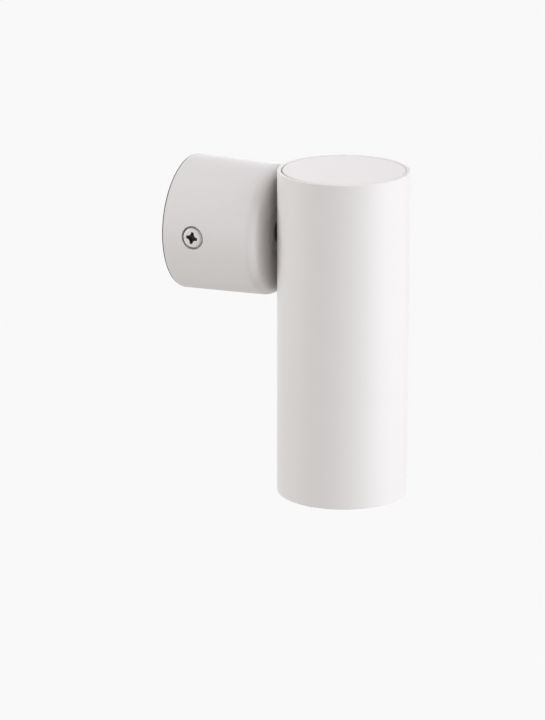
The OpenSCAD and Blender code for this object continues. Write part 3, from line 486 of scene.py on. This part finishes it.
# Lamp body: the white plastic shell of a twist-lock lamp, moulded with a rim round its lens, a
# curved bowl and a straight neck that carries the two pins.
lamp_face, lamp_l = -106, 47
rim_r, rim_h, neck_r, neck_l = 25, 4, 13, 15
seat_in, seat_up, inside_r, inside_up = 22.5, 2.8, 21.0, 9.9
rim_edge, seat_edge, neck_edge = 0.7, 0.3, 0.6
bowl_steps, bowl_bend = 24, 1.6
lamp_shell = finish("lamp_shell", (0.84, 0.84, 0.82), 0.38, grain=0.9, depth=0.01, mottle=0.015, cloud=6)
bowl = []
for step in range(bowl_steps):
    share = (step + 1) / bowl_steps
    bowl.append((neck_r + (rim_r - neck_r) * (1 - share ** bowl_bend),
                 rim_h + (lamp_l - rim_h - neck_l) * share))
body = turned(
    [(0, inside_up), (inside_r, inside_up), (inside_r, seat_up), (seat_in, seat_up), (seat_in, 0),
     (rim_r, 0), (rim_r, rim_h), *bowl, (neck_r, lamp_l), (0, lamp_l)],
    [(rim_r, 0, rim_edge, 5), (seat_in, 0, seat_edge, 3), (neck_r, lamp_l, neck_edge, 4)], steps=144)
lamp_body = solid("moulded_lamp_body", moved(body, on_tube @ at(0, 0, lamp_face)), lamp_shell)
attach(lamp_body, "lamp")
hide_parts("lamp_body")


# Lamp lens: a frosted plastic disc set into the rim, with rings moulded in its face that
# spread the light. It glows a warm white, because the lamp is on.
lens_r, lens_t, lens_sunk, lens_edge = 22.4, 2.2, 0.6, 0.3
ring_out, ring_step, ring_depth, ring_count = 21.2, 1.6, 0.5, 12
lit_lens = finish("lit_lens", (0.74, 0.72, 0.68), 0.3, grain=0.6, depth=0.015, mottle=0.01, cloud=5)
glow = lit_lens.node_tree.nodes["Principled BSDF"]
glow.inputs["Emission Color"].default_value = (1, 0.79, 0.52, 1)
glow.inputs["Emission Strength"].default_value = 0.34
rings = []
for ring in range(ring_count):
    rings += [(ring_out - ring_step * ring, 0), (ring_out - ring_step * (ring + 0.5), ring_depth)]
disc = turned([(0, lens_t), (lens_r, lens_t), (lens_r, 0), *rings, (0, 0)],
              [(lens_r, 0, lens_edge, 3)], steps=144)
lamp_lens = solid("moulded_lamp_lens", moved(disc, on_tube @ at(0, 0, lamp_face + lens_sunk)),
                  lit_lens, crease=12)
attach(lamp_lens, "lamp")
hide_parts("lamp_lens")


# Lamp pins: two turned brass pins with flat heads, plated with nickel. They are pressed into the
# lamp's neck and lock in the holder's tracks.
nickel = finish("nickel_plate", (0.66, 0.63, 0.58), 0.22, grain=0.4, depth=0.003, mottle=0.04,
                cloud=2, metallic=1.0, varied=0.06)


def dressed(material, *names):
    """Gives the frame's own pieces a finish."""
    for name in names:
        for place in node[name].material_slots:
            place.material = material


dressed(nickel, "lamp_pins")


# LED board: an aluminium board with a white solder mask, held behind the lens. The yellow squares
# are a plain grid over the whole board and don't follow its seven raised emitters.
chip_step, chip_share = 6.5, 0.22
board_white = finish("board_mask", (0.82, 0.82, 0.8), 0.35, grain=0.3, depth=0.004, mottle=0.02, cloud=4)


def overlaid(material, colour, mask):
    """Lays a second colour over a finish where a mask is one."""
    tree = material.node_tree
    over = tree.nodes.new("ShaderNodeMix")
    over.data_type = "RGBA"
    over.inputs["B"].default_value = (*colour, 1)
    tree.links.new(tree.nodes["Mix"].outputs["Result"], over.inputs["A"])
    tree.links.new(mask, over.inputs["Factor"])
    tree.links.new(over.outputs["Result"], tree.nodes["Principled BSDF"].inputs["Base Color"])


tree = board_white.node_tree
cells = tree.nodes.new("ShaderNodeTexVoronoi")
cells.distance = "CHEBYCHEV"
cells.inputs["Scale"].default_value = 1 / (chip_step * MM)
cells.inputs["Randomness"].default_value = 0
tree.links.new(tree.nodes["Texture Coordinate"].outputs["Object"], cells.inputs["Vector"])
chip = tree.nodes.new("ShaderNodeMath")
chip.operation = "LESS_THAN"
chip.inputs[1].default_value = chip_share
tree.links.new(cells.outputs["Distance"], chip.inputs[0])
overlaid(board_white, (0.85, 0.55, 0.08), chip.outputs[0])
dressed(board_white, "led_board")


# Lampholder: glazed steatite with two keyhole tracks in its face. Its edges are rounded, because
# it is pressed and fired.
steatite = finish("steatite_glaze", (0.78, 0.75, 0.68), 0.28, grain=0.7, depth=0.015, mottle=0.04, cloud=3)


def softened(name, source, body, material, edge, segments=3, angle=35):
    """New piece from a merged copy of one of the frame's own, with its sharp edges rounded."""
    shape = bmesh.new()
    shape.from_mesh(node[source].data)
    bmesh.ops.remove_doubles(shape, verts=shape.verts, dist=0.002 * MM)
    bmesh.ops.dissolve_limit(shape, angle_limit=radians(0.4), verts=shape.verts, edges=shape.edges,
                             delimit={"NORMAL"})
    for face in shape.faces:
        face.material_index = 0
    piece = solid(name, shape, material)
    rounding = piece.modifiers.new("rounding", "BEVEL")
    rounding.width = edge * MM
    rounding.segments = segments
    rounding.limit_method = "ANGLE"
    rounding.angle_limit = radians(angle)
    rounding.miter_outer = "MITER_ARC"
    piece.modifiers.move(1, 0)
    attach(piece, body)
    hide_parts(source)


softened("steatite_lampholder", "lampholder", "head", steatite, edge=0.3)


# Holder contacts: two leaves stamped from brass strip. They sit in the steatite, press on the
# lamp's pins and take the leads.
brass = finish("brass_strip", (0.78, 0.56, 0.24), 0.26, grain=0.5, depth=0.004, mottle=0.08, cloud=3,
               metallic=1.0, varied=0.08)
dressed(brass, "holder_contacts")


# Holder screws: two M3 steel screws, zinc plated. They go down through the lamp bracket and hold
# the steatite body under it.
dressed(bright_zinc, "holder_screws")


# Head leads: stranded copper in silicone skins, brown, blue and striped green and yellow. Live and
# neutral run from the nipple down to the holder, and earth to its lug.
brown_skin = finish("brown_silicone", (0.16, 0.065, 0.03), 0.45, grain=0.4, depth=0.006,
                    mottle=0.06, cloud=4)
blue_skin = finish("blue_silicone", (0.03, 0.12, 0.42), 0.45, grain=0.4, depth=0.006,
                   mottle=0.06, cloud=4)
earth_skin = finish("earth_silicone", (0.1, 0.36, 0.07), 0.45, grain=0.4, depth=0.006,
                    mottle=0.05, cloud=4)
stripe_rate, stripe_share = 0.11, 0.55
tree = earth_skin.node_tree
stripes = tree.nodes.new("ShaderNodeTexWave")
stripes.bands_direction = "DIAGONAL"
stripes.inputs["Scale"].default_value = stripe_rate / MM
tree.links.new(tree.nodes["Texture Coordinate"].outputs["Object"], stripes.inputs["Vector"])
striped = tree.nodes.new("ShaderNodeMath")
striped.operation = "GREATER_THAN"
striped.inputs[1].default_value = stripe_share
tree.links.new(stripes.outputs["Fac"], striped.inputs[0])
overlaid(earth_skin, (0.75, 0.6, 0.03), striped.outputs[0])
dressed(brown_skin, "head_lead_live")
dressed(blue_skin, "head_lead_neutral")
dressed(earth_skin, "head_lead_earth")


# Lamp bracket and saddle: a bent steel strip that hangs the lampholder on the tube's axis, and a
# block that fits it to the tube's round side. Both are zinc plated.
zinc_sheet = finish("zinc_sheet", (0.58, 0.6, 0.62), 0.36, grain=0.35, depth=0.008, mottle=0.1,
                    cloud=5, metallic=1.0, varied=0.1)
softened("steel_lamp_bracket", "lamp_bracket", "head", zinc_sheet, edge=0.12)
dressed(zinc_sheet, "inner_saddle")


# Swivel: a hollow threaded nipple through cup and tube with its tube nut, toothed washer and
# earth lug in the tube, and a stop washer, disc spring and two lock nuts in the cup. The spring
# is bare steel, the lug is tinned copper, and the others are steel with zinc plate.
dressed(bright_zinc, "swivel_nipple", "tube_nut", "toothed_washer", "lock_nuts")
spring_steel = finish("spring_steel", (0.34, 0.34, 0.35), 0.3, grain=0.4, depth=0.004, mottle=0.1,
                      cloud=3, metallic=1.0, varied=0.08)
dressed(spring_steel, "disc_spring")
dressed(zinc_sheet, "stop_washer")
tinned = finish("tinned_lug", (0.7, 0.69, 0.66), 0.3, grain=0.3, depth=0.005, mottle=0.07, cloud=2,
                metallic=1.0, varied=0.1)
dressed(tinned, "head_earth_lug")


# Swivel washers and sleeve: two white nylon rings, one on each side of the cup's front, on which
# the head turns, and the glass-fibre sleeve that keeps the leads off the nipple's ends.
nylon = finish("natural_nylon", (0.74, 0.72, 0.65), 0.42, grain=0.6, depth=0.008, mottle=0.03, cloud=4)
dressed(nylon, "friction_washer", "slide_washer")
glass_braid = finish("glass_sleeve_braid", (0.7, 0.68, 0.6), 0.6, grain=0.25, depth=0.05,
                     mottle=0.08, cloud=1)
dressed(glass_braid, "lead_sleeve")


# Top cap's O-ring: moulded black rubber in the cap's groove. It grips the tube's seat, so that the
# cap stays in without a screw. It is drawn unsqueezed, a hair short of the seat.
black_rubber = finish("black_rubber", (0.018, 0.018, 0.019), 0.55, grain=0.5, depth=0.01,
                      mottle=0.15, cloud=3)
dressed(black_rubber, "cap_oring")


# Wall bracket: a pressed steel plate with two bent ears, zinc plated. It is fixed first, with
# screws through its slots, and a clinch nut in each ear takes a side screw.
softened("steel_wall_bracket", "wall_bracket", "wall_base", zinc_sheet, edge=0.12)
dressed(bright_zinc, "clinch_nuts")


# Cable grommet: a soft rubber ring with one lip, which lies on the front of the plate. It is
# pushed into the cable hole and keeps the cable off the steel's edge.
softened("rubber_cable_grommet", "cable_grommet", "wall_base", black_rubber, edge=0.3)


# Terminal block: a moulded nylon housing of three poles, with brass clamps and their screws, held
# to the plate by two screws.
softened("nylon_terminal_block", "terminal_block", "wall_base", nylon, edge=0.3)
dressed(brass, "terminal_clamps")
dressed(bright_zinc, "terminal_screws", "block_screws")


# Earth point: a plated screw in the plate with its toothed washer, and the leads' ring lugs,
# which are stamped from tinned copper.
dressed(bright_zinc, "earth_screw", "earth_washer")
dressed(tinned, "earth_lugs")


# Base leads: live and neutral from the block to the nipple, the earth to the head, and the bond
# from the earth screw to the block. They are made as the head's leads are.
dressed(brown_skin, "base_lead_live")
dressed(blue_skin, "base_lead_neutral")
dressed(earth_skin, "base_lead_earth", "earth_bond")
